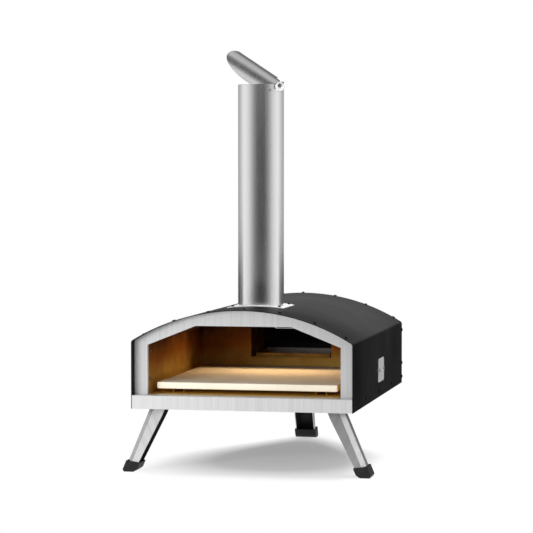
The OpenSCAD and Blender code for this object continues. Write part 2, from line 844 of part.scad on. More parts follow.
module leg_bracket(which) {
  h = pan_z - pivot_z;
  r = ear_r;
  color(STEEL) at_leg(which) difference() {
    union() {
      for (s = [-1, 1])
        translate([0, s * (ear_hw - leg_t / 2) + leg_t / 2, 0]) rotate([90, 0, 0]) linear_extrude(leg_t) {
          circle(r = r);
          translate([-r + 0.2, 0]) square([2 * r - 0.4, h]);
        }
      for (s = [-1, 1])
        translate([0, s * (boss_hw + ear_hw - leg_t) / 2, 0]) rotate([90, 0, 0])
          cylinder(h = boss_hw - ear_hw + leg_t, r = 4.6, center = true);
      box(-16, 16, -ear_hw, ear_hw, h - leg_t, h);
    }
    rotate([90, 0, 0]) cylinder(h = 100, r = leg_pin_r, center = true);
  }
}

module leg_pin(which) {
  w = leg_w / 2 + 0.4;
  color(STEEL) at_leg(which) rotate([90, 0, 0]) {
    cylinder(h = 2 * w, r = leg_pin_r, center = true);
    translate([0, 0, w]) cylinder(h = 3, r1 = 5.6, r2 = 4.4);
    translate([0, 0, -w - 4]) cylinder(h = 4, r = 5.8, $fn = 6);
  }
}

// World offset and height of a point a outward-negative, b up, in the leaning leg's frame
function lean_x(a, b) = a * cos(leg_splay) + b * sin(leg_splay);
function lean_b(a, z) = (z - pivot_z + a * sin(leg_splay)) / cos(leg_splay);
function sole(a, z) = [lean_x(a, lean_b(a, z)), z - pivot_z];

module foot(which) {
  o = leg_o + fit_gap;
  n = leg_end - leg_o + fit_gap + 1;
  w = leg_w / 2 + fit_gap;
  heel = 5;
  color(RUBBER) at_leg(which) difference() {
    translate([0, foot_w / 2, 0]) rotate([90, 0, 0]) linear_extrude(foot_w) polygon([
      sole(-sole_out, 21), sole(-sole_out, 4), sole(-sole_out, 0) + [4, 0],
      sole(sole_in + 1, 0) - [heel, 0], sole(sole_in + 1, heel), sole(sole_in + 1, 17)
    ]);
    rotate([0, leg_splay, 0]) box(-o, n, -w, w, -leg_len, 0);
  }
}

module badge_places() {
  for (s = [-1, 1]) translate([0, s * (badge_w / 2 - 7), 0]) rotate([0, 90, 0]) children();
}

// Blank rounded badge on the right side wall
module side_badge() {
  r = 6;
  color(STEEL) translate([half_w, front_y + badge_back, ground_h + 50]) difference() {
    rotate([90, 0, 90]) linear_extrude(1) {
      square([badge_w - 2 * r, badge_h], center = true);
      square([badge_w, badge_h - 2 * r], center = true);
      for (x = [-1, 1], y = [-1, 1]) translate([x * (badge_w / 2 - r), y * (badge_h / 2 - r)]) circle(r = r);
    }
    badge_places() screw_hole(3);
  }
}

module badge_rivets() {
  color(STEEL) translate([half_w + 1, front_y + badge_back, ground_h + 50]) badge_places() screw(4);
}

module roof_screws() {
  color(DARK) at_roof_screws() screw(4);
}

module side_screws() {
  color(DARK) at_side_screws() screw(4);
}

module plate_screws() {
  color(DARK) at_plate_screws() screw(4);
}

module floor_screws() {
  color(STEEL) at_floor_screws() screw(3);
}

module wall_screws() {
  color(STEEL) at_wall_screws() screw(3);
}

module rear_screws() {
  color(DARK) at_rear_screws() translate([0, 0, front_t]) screw(3);
}

outer_shell();
insulation_blanket();
inner_liner();
base_pan();
base_board();
inner_floor();
front_arch();
front_apron();
rear_panel();
back_wall();
firebox();
stone_rail(-1);  // stone_rail_left
stone_rail(1);  // stone_rail_right
pizza_stone();
tray_runner(-1);  // tray_runner_left
tray_runner(1);  // tray_runner_right
fuel_tray();
tray_face();
tray_handle();
handle_grip();
fuel_chute();
chute_lid();
lid_pin();
lid_knob();
flue_plate();
flue_collar();
flue_pipe();
cap_bracket();
cap_pin();
cap_nut();
rain_cap();
cap_yoke();
leg_bracket("left");  // leg_bracket_left
leg_bracket("right");  // leg_bracket_right
leg_bracket("rear");  // leg_bracket_rear
leg_pin("left");  // leg_pin_left
leg_pin("right");  // leg_pin_right
leg_pin("rear");  // leg_pin_rear
leg("left");  // leg_left
leg("right");  // leg_right
leg("rear");  // leg_rear
foot("left");  // foot_left
foot("right");  // foot_right
foot("rear");  // foot_rear
side_badge();
badge_rivets();
roof_screws();
side_screws();
plate_screws();
floor_screws();
wall_screws();
rear_screws();
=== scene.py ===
"""Looks of a portable wood fired pizza oven: an arched body on three legs with a tall flue pipe.

Each sub-assembly of the oven is a class. Its build method makes the pieces that stand for the
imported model's nodes, and its dress method gives them their finishes.
"""

from __future__ import annotations

import json
import logging
import math
from dataclasses import dataclass, field
from enum import Enum, StrEnum, auto
from typing import ClassVar, NamedTuple, Sequence

import bmesh
import bpy
from mathutils import Matrix, Vector

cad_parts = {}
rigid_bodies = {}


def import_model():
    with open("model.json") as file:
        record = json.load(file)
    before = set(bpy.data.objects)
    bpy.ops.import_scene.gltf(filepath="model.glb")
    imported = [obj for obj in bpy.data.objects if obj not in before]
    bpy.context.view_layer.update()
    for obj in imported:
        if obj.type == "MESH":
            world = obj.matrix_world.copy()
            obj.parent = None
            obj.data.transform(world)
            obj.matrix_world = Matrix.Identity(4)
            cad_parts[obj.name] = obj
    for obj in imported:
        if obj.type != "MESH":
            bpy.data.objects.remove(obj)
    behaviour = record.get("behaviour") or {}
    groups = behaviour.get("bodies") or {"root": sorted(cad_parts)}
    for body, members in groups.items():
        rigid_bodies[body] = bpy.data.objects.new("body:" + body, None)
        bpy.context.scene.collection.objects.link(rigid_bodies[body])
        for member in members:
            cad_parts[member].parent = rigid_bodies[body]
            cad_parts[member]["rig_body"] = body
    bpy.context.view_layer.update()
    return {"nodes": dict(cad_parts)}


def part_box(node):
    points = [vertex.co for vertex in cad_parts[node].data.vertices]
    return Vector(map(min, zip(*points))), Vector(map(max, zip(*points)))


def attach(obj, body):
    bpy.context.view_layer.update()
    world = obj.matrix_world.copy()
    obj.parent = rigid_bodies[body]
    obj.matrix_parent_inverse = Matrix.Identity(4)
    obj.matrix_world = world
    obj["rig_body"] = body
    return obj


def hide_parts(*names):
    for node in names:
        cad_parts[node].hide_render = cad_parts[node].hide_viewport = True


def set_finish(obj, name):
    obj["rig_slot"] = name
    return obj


LOG = logging.getLogger("oven")
MM = 0.001
WHITE = (1.0, 1.0, 1.0)
EMBER = (1.0, 0.66, 0.34)
# Places of the Mix node's colour sockets, which share their names with others.
FACTOR, FIRST, SECOND, MIXED = 0, 6, 7, 2

Color = tuple[float, float, float]
Place = tuple[float, float, float]
Point = tuple[float, float]
Material = bpy.types.Material
Node = bpy.types.Node
Piece = bpy.types.Object
Socket = bpy.types.NodeSocket
Shape = bmesh.types.BMesh
Ring = list[bmesh.types.BMVert]


class Slot(StrEnum):
    """The record's material slots, each named as its member in lower case."""

    BLACK_COAT = auto()
    BRUSHED_PANEL = auto()
    BRUSHED_TUBE = auto()
    BRUSHED_LEG = auto()
    TINTED_STEEL = auto()
    BRIGHT_WIRE = auto()
    DARK_SCREW = auto()
    CORDIERITE = auto()
    CERAMIC_WOOL = auto()
    BLACK_RUBBER = auto()
    BLACK_GRIP = auto()


class Grain(Enum):
    """Which way the brushing runs on a steel sheet, as the axis that the scratches follow."""

    UPRIGHT = (0.0, 0.0, 1.0)
    ACROSS = (1.0, 0.0, 0.0)


class Seat(NamedTuple):
    """A place on a surface and the way it faces."""

    point: Vector
    normal: Vector


# By slot and node, how far the rounding of its edges reaches, in millimetres.
Edges = dict[Slot, dict[str, float]]


# Node trees


class NodeTree:
    """A node tree under construction, with short ways to add and link its nodes."""

    def __init__(self, tree: bpy.types.NodeTree) -> None:
        """Empties the tree."""
        self.tree = tree
        self.tree.nodes.clear()

    def add(self, kind: str, **inputs: object) -> Node:
        """Adds a node and fills its sockets.

        Args:
            kind: The node's type name.
            inputs: Socket values or links, by the socket's name with underscores for spaces.

        Returns:
            The new node.
        """
        node = self.tree.nodes.new(kind)
        for key, value in inputs.items():
            self.feed(node.inputs[key.replace("_", " ")], value)
        return node

    def feed(self, socket: Socket, value: object) -> None:
        """Links a socket to another one, or sets its value."""
        if isinstance(value, Socket):
            self.tree.links.new(value, socket)
        else:
            socket.default_value = value

    def math(self, operation: str, *values: object) -> Socket:
        """Returns the result of one sum on up to three values."""
        return self.operate("ShaderNodeMath", operation, values).outputs["Value"]

    def vector_math(self, operation: str, *values: object, result: str = "Vector") -> Socket:
        """Returns one result of a sum on up to three vectors."""
        return self.operate("ShaderNodeVectorMath", operation, values).outputs[result]

    def operate(self, kind: str, operation: str, values: Sequence[object]) -> Node:
        """Returns a new node that runs an operation on values, in the order of its sockets."""
        node = self.tree.nodes.new(kind)
        node.operation = operation
        for socket, value in zip(node.inputs, values):
            self.feed(socket, value)
        return node


# Materials


def gray(level: float) -> tuple[float, float, float, float]:
    """Returns an opaque gray."""
    return level, level, level, 1.0


class ShaderGraph(NodeTree):
    """A material under construction."""

    def __init__(self, name: str) -> None:
        """Starts an empty node tree that reads Object coordinates."""
        self.material = bpy.data.materials.new(name)
        self.material.use_nodes = True
        super().__init__(self.material.node_tree)
        self.place = self.add("ShaderNodeTexCoord").outputs["Object"]

    def along(self, axis: str) -> Socket:
        """Returns one of the Object coordinates, X, Y or Z."""
        return self.add("ShaderNodeSeparateXYZ", Vector=self.place).outputs[axis]

    def stretched(self, scale: Sequence[float], turn: Sequence[float] = (0.0, 0.0, 0.0)) -> Socket:
        """Returns Object coordinates turned and then scaled, per metre."""
        turned = self.add("ShaderNodeMapping", Vector=self.place, Rotation=turn).outputs["Vector"]
        return self.add("ShaderNodeMapping", Vector=turned, Scale=scale).outputs["Vector"]

    def noise(self, at: Socket, scale: float, detail: float = 2.0, rough: float = 0.5) -> Socket:
        """Returns a noise value between 0 and 1."""
        inputs = {"Vector": at, "Scale": scale, "Detail": detail, "Roughness": rough}
        return self.add("ShaderNodeTexNoise", **inputs).outputs["Fac"]

    def ramp(self, value: Socket, stops: Sequence[tuple[float, Color]]) -> Socket:
        """Returns a colour read from stops along a value."""
        node = self.add("ShaderNodeValToRGB", Fac=value)
        elements = node.color_ramp.elements
        while len(elements) < len(stops):
            elements.new(0.5)
        for element, (position, color) in zip(elements, stops):
            element.position = position
            element.color = (*color, 1.0)
        return node.outputs["Color"]

    def shades(self, value: Socket, color: Color, *stops: Point) -> Socket:
        """Returns shares of one colour along a value, from stops of place and share."""
        return self.ramp(value, [(place, shade(color, share)) for place, share in stops])

    def span(
        self, value: Socket, low: float, high: float, start: float = 0.3, end: float = 0.7
    ) -> Socket:
        """Returns a value carried from start and end to low and high."""
        limits = {"From_Min": start, "From_Max": end, "To_Min": low, "To_Max": high}
        return self.add("ShaderNodeMapRange", Value=value, **limits).outputs["Result"]

    def sum(self, first: Socket, second: Socket, share: float) -> Socket:
        """Returns first plus a share of second."""
        return self.math("MULTIPLY_ADD", second, share, first)

    def blend(self, amount: Socket, first: object, second: object) -> Socket:
        """Returns a colour part way from first to second."""
        node = self.add("ShaderNodeMix")
        node.data_type = "RGBA"
        for place, value in {FACTOR: amount, FIRST: first, SECOND: second}.items():
            self.feed(node.inputs[place], value)
        return node.outputs[MIXED]

    def bump(self, height: Socket, strength: float, distance: float) -> Socket:
        """Returns a normal raised by a height."""
        inputs = {"Height": height, "Strength": strength, "Distance": distance}
        return self.add("ShaderNodeBump", **inputs).outputs["Normal"]

    def finish(self, **inputs: object) -> Material:
        """Closes the material with a Principled surface and returns it."""
        surface = self.add("ShaderNodeBsdfPrincipled", **inputs)
        self.add("ShaderNodeOutputMaterial", Surface=surface.outputs["BSDF"])
        return self.material

    def glow(self, color: object) -> Material:
        """Closes the material with an even glow and returns it."""
        shine = self.add("ShaderNodeEmission", Color=color, Strength=1.0)
        self.add("ShaderNodeOutputMaterial", Surface=shine.outputs["Emission"])
        return self.material


def shade(color: Color, share: float) -> Color:
    """Returns a colour made lighter or darker by a share."""
    red, green, blue = (min(1.0, part * share) for part in color)
    return red, green, blue


@dataclass(frozen=True)
class PowderCoat:
    """Matte black powder coat with a fine orange peel, with painted shade towards the mouth and
    painted light towards the back.
    """

    color: Color = (0.011, 0.011, 0.0115)
    roughness: float = 0.38
    peel: float = 1100.0
    mouth: float = -0.29
    shade_end: float = 0.02
    front_shade: Point = (0.5, 0.9)
    back_light: Point = (0.85, 1.6)
    gloss: Point = (0.015, 0.09)

    def material(self) -> Material:
        """Returns the material."""
        graph = ShaderGraph("powder_coat")
        cloud = graph.noise(graph.place, 9.0, 4.0)
        peel = graph.noise(graph.place, self.peel, 2.0)
        # Painted light and shade: the coat's colour runs from a darker copy at the front to a
        # lighter one at the back, and its specular level rises the same way.
        new_or_lit = graph.span(graph.along("Y"), 0.0, 1.0, self.mouth, self.shade_end)
        front_shade, back_light = (
            graph.shades(cloud, self.color, (0.3, low), (0.7, high))
            for low, high in (self.front_shade, self.back_light)
        )
        mottled = graph.sum(cloud, peel, 0.3)
        return graph.finish(
            Base_Color=graph.blend(new_or_lit, front_shade, back_light),
            Roughness=graph.span(mottled, self.roughness - 0.06, self.roughness + 0.08, 0.4, 0.9),
            Specular_IOR_Level=graph.span(new_or_lit, *self.gloss, 0.1, 0.9),
            Normal=graph.bump(peel, 0.25, 0.15 * MM),
        )


@dataclass(frozen=True)
class BrushedSteel:
    """Stainless sheet brushed one way, with fine scratches, broader streaks and faint smudges."""

    name: str
    grain: Grain = Grain.UPRIGHT
    color: Color = (0.70, 0.70, 0.71)
    roughness: float = 0.3
    streak: float = 0.12
    gloss_along: Place = (1.0, 0.0, 0.0)
    anisotropy: float = 0.6
    turn: Place = (0.0, 0.0, 0.0)
    relief: float = 0.12
    metallic: float = 1.0

    def material(self) -> Material:
        """Returns the material."""
        graph = ShaderGraph(self.name)
        fine = graph.stretched([5.0 if along else 1500.0 for along in self.grain.value], self.turn)
        broad = graph.stretched([1.2 if along else 110.0 for along in self.grain.value], self.turn)
        scratch = graph.noise(fine, 1.0, 3.0, 0.6)
        streak = graph.noise(broad, 1.0, 4.0, 0.7)
        smudge = graph.noise(graph.place, 11.0, 3.0)
        lines = graph.sum(scratch, streak, 0.8)
        low, high = 1.0 - self.streak, 1.0 + self.streak
        worn = graph.span(lines, self.roughness - 0.05, self.roughness + 0.06, 0.6, 1.2)
        tangent = graph.add("ShaderNodeCombineXYZ", **dict(zip("XYZ", self.gloss_along)))
        return graph.finish(
            Base_Color=graph.shades(lines, self.color, (0.65, low), (1.0, high)),
            Metallic=self.metallic,
            Roughness=graph.sum(worn, smudge, 0.06),
            Anisotropic=self.anisotropy,
            Tangent=tangent.outputs["Vector"],
            Normal=graph.bump(lines, self.relief, 0.05 * MM),
        )


@dataclass(frozen=True)
class HeatTint:
    """Steel tinted by fire: straw gold low in the chamber, turning brown and near black towards the
    roof.
    """

    low: float
    high: float
    straw: Color = (0.88, 0.56, 0.13)
    bronze: Color = (0.34, 0.115, 0.02)
    top_dark: Color = (0.06, 0.024, 0.012)

    def material(self) -> Material:
        """Returns the material."""
        graph = ShaderGraph("heat_tint")
        cloud = graph.noise(graph.place, 14.0, 5.0, 0.6)
        fine = graph.noise(graph.stretched((900.0, 12.0, 900.0)), 1.0, 2.0)
        rise = graph.span(graph.along("Z"), 0.0, 1.0, self.low, self.high)
        tints = (self.straw, shade(self.straw, 0.72), self.bronze, self.top_dark)
        level = graph.sum(graph.sum(rise, cloud, 0.5), fine, 0.08)
        return graph.finish(
            Base_Color=graph.ramp(level, list(zip((0.22, 0.45, 0.72, 1.0), tints))),
            Metallic=0.45,
            Specular_IOR_Level=0.15,
            Specular_Tint=(1.0, 0.8, 0.42, 1.0),
            Roughness=graph.span(cloud, 0.38, 0.52),
            Normal=graph.bump(graph.sum(fine, cloud, 0.4), 0.15, 0.08 * MM),
        )


@dataclass(frozen=True)
class Cordierite:
    """Cream baking stone with a fine grain, small pits and a little toasting."""

    color: Color = (0.86, 0.80, 0.66)

    def material(self) -> Material:
        """Returns the material."""
        graph = ShaderGraph("cordierite")
        cloud = graph.noise(graph.place, 13.0, 5.0, 0.6)
        grain = graph.noise(graph.place, 700.0, 3.0, 0.7)
        cells = graph.add("ShaderNodeTexVoronoi", Vector=graph.place, Scale=320.0)
        pits = graph.span(cells.outputs["Distance"], 0.0, 1.0, 0.04, 0.16)
        speckled = graph.sum(cloud, grain, 0.35)
        body = graph.shades(speckled, self.color, (0.35, 0.86), (0.6, 1.0), (0.95, 1.08))
        hollow = graph.ramp(grain, [(0.0, shade(self.color, 0.7)), (1.0, WHITE)])
        return graph.finish(
            Base_Color=graph.blend(pits, hollow, body),
            Roughness=graph.span(grain, 0.78, 0.92),
            Normal=graph.bump(graph.sum(grain, pits, 0.6), 0.35, 0.3 * MM),
        )


@dataclass(frozen=True)
class CeramicWool:
    """White ceramic fibre with matted strands."""

    color: Color = (0.84, 0.83, 0.78)

    def material(self) -> Material:
        """Returns the material."""
        graph = ShaderGraph("ceramic_wool")
        strands = graph.noise(graph.stretched((300.0, 60.0, 300.0)), 1.0, 6.0, 0.75)
        return graph.finish(
            Base_Color=graph.shades(strands, self.color, (0.3, 0.75), (0.7, 1.0)),
            Roughness=graph.span(strands, 0.85, 0.98),
            Sheen_Weight=0.3,
            Normal=graph.bump(strands, 0.8, 1.0 * MM),
        )


@dataclass(frozen=True)
class Moulded:
    """Black moulded rubber or resin with a fine grain."""

    name: str
    color: Color = (0.012, 0.012, 0.013)
    roughness: float = 0.6
    grain: float = 900.0

    def material(self) -> Material:
        """Returns the material."""
        graph = ShaderGraph(self.name)
        grain = graph.noise(graph.place, self.grain, 2.0)
        wear = graph.noise(graph.place, 55.0, 4.0, 0.65)
        worn = graph.sum(wear, grain, 0.4)
        return graph.finish(
            Base_Color=graph.shades(wear, self.color, (0.35, 0.8), (0.75, 1.7)),
            Roughness=graph.span(worn, self.roughness - 0.08, self.roughness + 0.1, 0.5, 0.9),
            Specular_IOR_Level=0.25,
            Normal=graph.bump(grain, 0.35, 0.12 * MM),
        )


@dataclass(frozen=True)
class Plated:
    """Small metal fittings, bright plated or blackened, with light handling marks."""

    name: str
    color: Color = (0.74, 0.74, 0.75)
    roughness: float = 0.24
    metallic: float = 1.0

    def material(self) -> Material:
        """Returns the material."""
        graph = ShaderGraph(self.name)
        marks = graph.noise(graph.place, 420.0, 4.0, 0.7)
        cloud = graph.noise(graph.place, 60.0, 3.0)
        return graph.finish(
            Base_Color=graph.shades(cloud, self.color, (0.35, 0.86), (0.65, 1.05)),
            Metallic=self.metallic,
            Roughness=graph.span(marks, self.roughness - 0.06, self.roughness + 0.12),
            Normal=graph.bump(marks, 0.1, 0.05 * MM),
        )


LEG_LOOK = {"roughness": 0.38, "anisotropy": 0.0, "metallic": 0.6}


def satin(name: str) -> Material:
    """Returns a pale satin plate."""
    return Plated(name, (0.9, 0.9, 0.9), 0.5, 0.2).material()


# Geometry Nodes


class Recipe(NodeTree):
    """A Geometry Nodes tree with named inputs, which makes one plain mesh."""

    def __init__(self, name: str) -> None:
        """Starts an empty tree with its input node."""
        super().__init__(bpy.data.node_groups.new(name, "GeometryNodeTree"))
        self.sockets: dict[str, str] = {}
        self.source = self.tree.nodes.new("NodeGroupInput")
        kind = "NodeSocketGeometry"
        for side in ("INPUT", "OUTPUT"):
            self.tree.interface.new_socket("Geometry", in_out=side, socket_type=kind)
        self.finish = self.input("Finish", "Material")

    def input(self, name: str, kind: str = "Float") -> Socket:
        """Adds a named input and returns the socket that carries it."""
        kind = "NodeSocket" + kind
        item = self.tree.interface.new_socket(name, in_out="INPUT", socket_type=kind)
        self.sockets[name] = item.identifier
        return self.source.outputs[name]

    def inputs(self, *names: str) -> list[Socket]:
        """Adds named sizes and returns the sockets that carry them."""
        return [self.input(name) for name in names]

    def vector(self, x: object = 0.0, y: object = 0.0, z: object = 0.0) -> Socket:
        """Returns three values as one vector."""
        return self.add("ShaderNodeCombineXYZ", X=x, Y=y, Z=z).outputs["Vector"]

    def moved(
        self, geometry: Socket, offset: object = (0.0, 0.0, 0.0), turn: Place = (0.0, 0.0, 0.0)
    ) -> Socket:
        """Returns geometry turned and then moved."""
        move = {"Geometry": geometry, "Translation": offset, "Rotation": turn}
        return self.add("GeometryNodeTransform", **move).outputs["Geometry"]

    def swept(self, path: Node, section: Node) -> Socket:
        """Returns one curve node's section carried along another's path."""
        curves = {"Curve": path.outputs["Curve"], "Profile_Curve": section.outputs["Curve"]}
        return self.add("GeometryNodeCurveToMesh", **curves).outputs["Mesh"]

    def set_on(self, points: Socket, shape: Socket, **more: Socket) -> Socket:
        """Returns a shape set on each point."""
        placed = self.add("GeometryNodeInstanceOnPoints", Points=points, Instance=shape, **more)
        return placed.outputs["Instances"]

    def close(self, geometry: Socket, smooth: bool = True) -> None:
        """Ends the tree: instances are made real, shaded and given the finish."""
        steps = {
            "GeometryNodeRealizeInstances": {},
            "GeometryNodeSetShadeSmooth": {"Shade_Smooth": smooth},
            "GeometryNodeSetMaterial": {"Material": self.finish},
        }
        for kind, inputs in steps.items():
            geometry = self.add(kind, Geometry=geometry, **inputs).outputs["Geometry"]
        self.add("NodeGroupOutput", Geometry=geometry)

    def make(self, piece: Piece, finish: Material, **values: object) -> None:
        """Runs the tree on a piece and leaves it a plain mesh.

        Args:
            piece: The object whose mesh is the tree's geometry input.
            finish: The material that the tree sets.
            values: The tree's other inputs, by name with underscores for spaces.
        """
        modifier = piece.modifiers.new(self.tree.name, "NODES")
        modifier.node_group = self.tree
        for name, value in {"Finish": finish, **values}.items():
            modifier[self.sockets[name.replace("_", " ")]] = value
        flatten(piece)


def screw_recipe() -> Recipe:
    """Returns the tree that sets a domed screw head with a cross recess on every point."""
    recipe = Recipe("screw_heads")
    radius, height, recess = recipe.inputs("Head Radius", "Head Height", "Recess Width")
    half = recipe.math("MULTIPLY", height, 0.5)
    waist = recipe.math("MULTIPLY", radius, 0.86)
    crown = recipe.math("MULTIPLY", radius, 0.52)
    rows = []
    for bottom, top, level in ((radius, waist, 0.0), (waist, crown, half)):
        sizes = {"Depth": half, "Radius_Bottom": bottom, "Radius_Top": top}
        cone = recipe.add("GeometryNodeMeshCone", Vertices=20, **sizes)
        rows.append(recipe.moved(cone.outputs["Mesh"], recipe.vector(z=level)))
    lower, upper = rows
    cut = recipe.operate("GeometryNodeMeshBoolean", "DIFFERENCE", [upper])
    reach = recipe.math("MULTIPLY", radius, 0.8)
    for size in (recipe.vector(reach, recess, height), recipe.vector(recess, reach, height)):
        bar = recipe.add("GeometryNodeMeshCube", Size=size)
        raised = recipe.moved(bar.outputs["Mesh"], recipe.vector(z=height))
        recipe.feed(cut.inputs["Mesh 2"], raised)
    head = recipe.tree.nodes.new("GeometryNodeJoinGeometry")
    for part in (lower, cut.outputs["Mesh"]):
        recipe.feed(head.inputs["Geometry"], part)
    facing = recipe.add("GeometryNodeInputNamedAttribute", Name="facing")
    facing.data_type = "FLOAT_VECTOR"
    aim = recipe.add("FunctionNodeAlignRotationToVector", Vector=facing.outputs["Attribute"])
    aim.axis = "Z"
    points, shape = recipe.source.outputs["Geometry"], head.outputs["Geometry"]
    recipe.close(recipe.set_on(points, shape, Rotation=aim.outputs["Rotation"]), smooth=False)
    return recipe


def tube_recipe() -> Recipe:
    """Returns the tree that turns a rounded wall section round an upright axis."""
    recipe = Recipe("tube")
    radius, wall, length = recipe.inputs("Middle Radius", "Wall", "Length")
    centre = recipe.input("Centre", "Vector")
    ring = recipe.add("GeometryNodeCurvePrimitiveCircle", Resolution=144, Radius=radius)
    section = recipe.add("GeometryNodeCurvePrimitiveQuadrilateral", Width=wall, Height=length)
    corner = recipe.math("MULTIPLY", wall, 0.45)
    rounded = recipe.add("GeometryNodeFilletCurve", Curve=section.outputs["Curve"], Radius=corner)
    recipe.close(recipe.moved(recipe.swept(ring, rounded), centre))
    return recipe


def rib_recipe() -> Recipe:
    """Returns the tree that lays a row of raised rings along X."""
    recipe = Recipe("rib_row")
    radius, rise, step = recipe.inputs("Ring Radius", "Rise", "Step")
    count, centre = recipe.input("Count", "Int"), recipe.input("Centre", "Vector")
    ring = recipe.add("GeometryNodeCurvePrimitiveCircle", Resolution=32, Radius=radius)
    bead = recipe.add("GeometryNodeCurvePrimitiveCircle", Resolution=8, Radius=rise)
    upright = recipe.moved(recipe.swept(ring, bead), turn=(0.0, math.pi / 2, 0.0))
    row = recipe.add("GeometryNodeMeshLine", Count=count, Offset=recipe.vector(step))
    recipe.close(recipe.moved(recipe.set_on(row.outputs["Mesh"], upright), centre))
    return recipe


# Meshes


def new_piece(name: str, data: bpy.types.ID) -> Piece:
    """Returns a new object at the origin that shows a mesh, a lamp or a camera."""
    piece = bpy.data.objects.new(name, data)
    bpy.context.scene.collection.objects.link(piece)
    return piece


def hide(piece: Piece, *rays: str) -> None:
    """Hides an object from some kinds of rays."""
    for ray in rays:
        setattr(piece, "visible_" + ray, False)


def flatten(piece: Piece) -> None:
    """Turns what a piece's modifiers make into its own plain mesh."""
    bpy.context.view_layer.update()
    graph = bpy.context.evaluated_depsgraph_get()
    mesh = bpy.data.meshes.new_from_object(piece.evaluated_get(graph), depsgraph=graph)
    piece.modifiers.clear()
    piece.data = mesh


def welded(mesh: bpy.types.Mesh) -> Shape:
    """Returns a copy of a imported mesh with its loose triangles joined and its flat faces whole."""
    work = bmesh.new()
    work.from_mesh(mesh)
    bmesh.ops.remove_doubles(work, verts=work.verts, dist=0.001 * MM)
    parts = {"verts": work.verts[:], "edges": work.edges[:]}
    bmesh.ops.dissolve_limit(work, angle_limit=math.radians(0.3), **parts)
    return work


def plain_mesh(name: str, work: Shape) -> bpy.types.Mesh:
    """Returns a smooth-shaded mesh with only the points and faces of a shape, and frees it."""
    work.verts.index_update()
    mesh = bpy.data.meshes.new(name)
    faces = [[vert.index for vert in face.verts] for face in work.faces]
    mesh.from_pydata([vert.co[:] for vert in work.verts], [], faces)
    work.free()
    mesh.shade_smooth()
    return mesh


def soften(piece: Piece, width: float, segments: int = 2, angle: float = 32.0) -> None:
    """Rounds a piece's sharp edges and evens its shading.

    Args:
        piece: The object, with a closed mesh.
        width: How far the rounding reaches from each edge, in metres.
        segments: Strips in each rounding.
        angle: Edges sharper than this are rounded, in degrees.
    """
    bevel = piece.modifiers.new("round", "BEVEL")
    bevel.width = width
    bevel.segments = segments
    bevel.limit_method = "ANGLE"
    bevel.angle_limit = math.radians(angle)
    even_shading(piece)


def even_shading(piece: Piece) -> None:
    """Lets each large face keep its own normal at its borders, and flattens the piece."""
    weigh = piece.modifiers.new("even", "WEIGHTED_NORMAL")
    weigh.keep_sharp = True
    flatten(piece)


def full_turn(steps: int) -> list[float]:
    """Returns even angles round a circle, in radians."""
    return [2 * math.pi * step / steps for step in range(steps)]


def skin(work: Shape, rings: Sequence[Ring], steps: int) -> Shape:
    """Returns a shape closed by faces over its rings, each a circle or, at a pole, one point."""
    for low, high in zip(rings, rings[1:]):
        for step in range(steps):
            turn = (step, (step + 1) % steps)
            near = [low[place % len(low)] for place in turn]
            far = [high[place % len(high)] for place in reversed(turn)]
            work.faces.new(list(dict.fromkeys(near + far)))
    for ring in (rings[0], rings[-1]):
        if len(ring) > 1:
            work.faces.new(ring)
    bmesh.ops.recalc_face_normals(work, faces=work.faces)
    return work


def lathe(profile: Sequence[Point], seat: Seat, steps: int = 48) -> Shape:
    """Turns a profile round an axis.

    Args:
        profile: Radius and height of each point, from the lower pole to the upper one.
        seat: Where the axis starts and the way it runs.
        steps: Faces round the axis.

    Returns:
        The closed shape.
    """
    work = bmesh.new()
    aim = Matrix.Translation(seat.point) @ seat.normal.to_track_quat("Z", "Y").to_matrix().to_4x4()
    rings: list[Ring] = []
    for radius, height in profile:
        turns = full_turn(steps) if radius > 0.0 else [0.0]
        ring = [(radius * math.cos(turn), radius * math.sin(turn), height) for turn in turns]
        rings.append([work.verts.new(aim @ Vector(point)) for point in ring])
    return skin(work, rings, steps)


def arc(middle: Point, radius: float, start: float, end: float, steps: int) -> list[Point]:
    """Returns points on an arc between two angles in degrees."""
    x, y = middle
    turns = [math.radians(start + (end - start) * step / steps) for step in range(steps + 1)]
    return [(x + radius * math.cos(turn), y + radius * math.sin(turn)) for turn in turns]


def swept_wire(path: Sequence[Vector], radius: float, sides: int = 16) -> Shape:
    """Returns a round wire along a path that lies in one level plane.

    Args:
        path: Points of the wire's middle line.
        radius: The wire's radius.
        sides: Faces round the wire.

    Returns:
        The closed wire.
    """
    work = bmesh.new()
    rings: list[Ring] = []
    up = Vector((0.0, 0.0, 1.0))
    for index, point in enumerate(path):
        before, after = path[max(index - 1, 0)], path[min(index + 1, len(path) - 1)]
        side = (after - before).normalized().cross(up)
        offsets = [side * math.cos(turn) + up * math.sin(turn) for turn in full_turn(sides)]
        rings.append([work.verts.new(point + radius * offset) for offset in offsets])
    return skin(work, rings, sides)


# The oven


def dress(piece: Piece, *materials: Material) -> None:
    """Gives a piece its finishes, the first one all over."""
    piece.data.materials.clear()
    for material in materials:
        piece.data.materials.append(material)


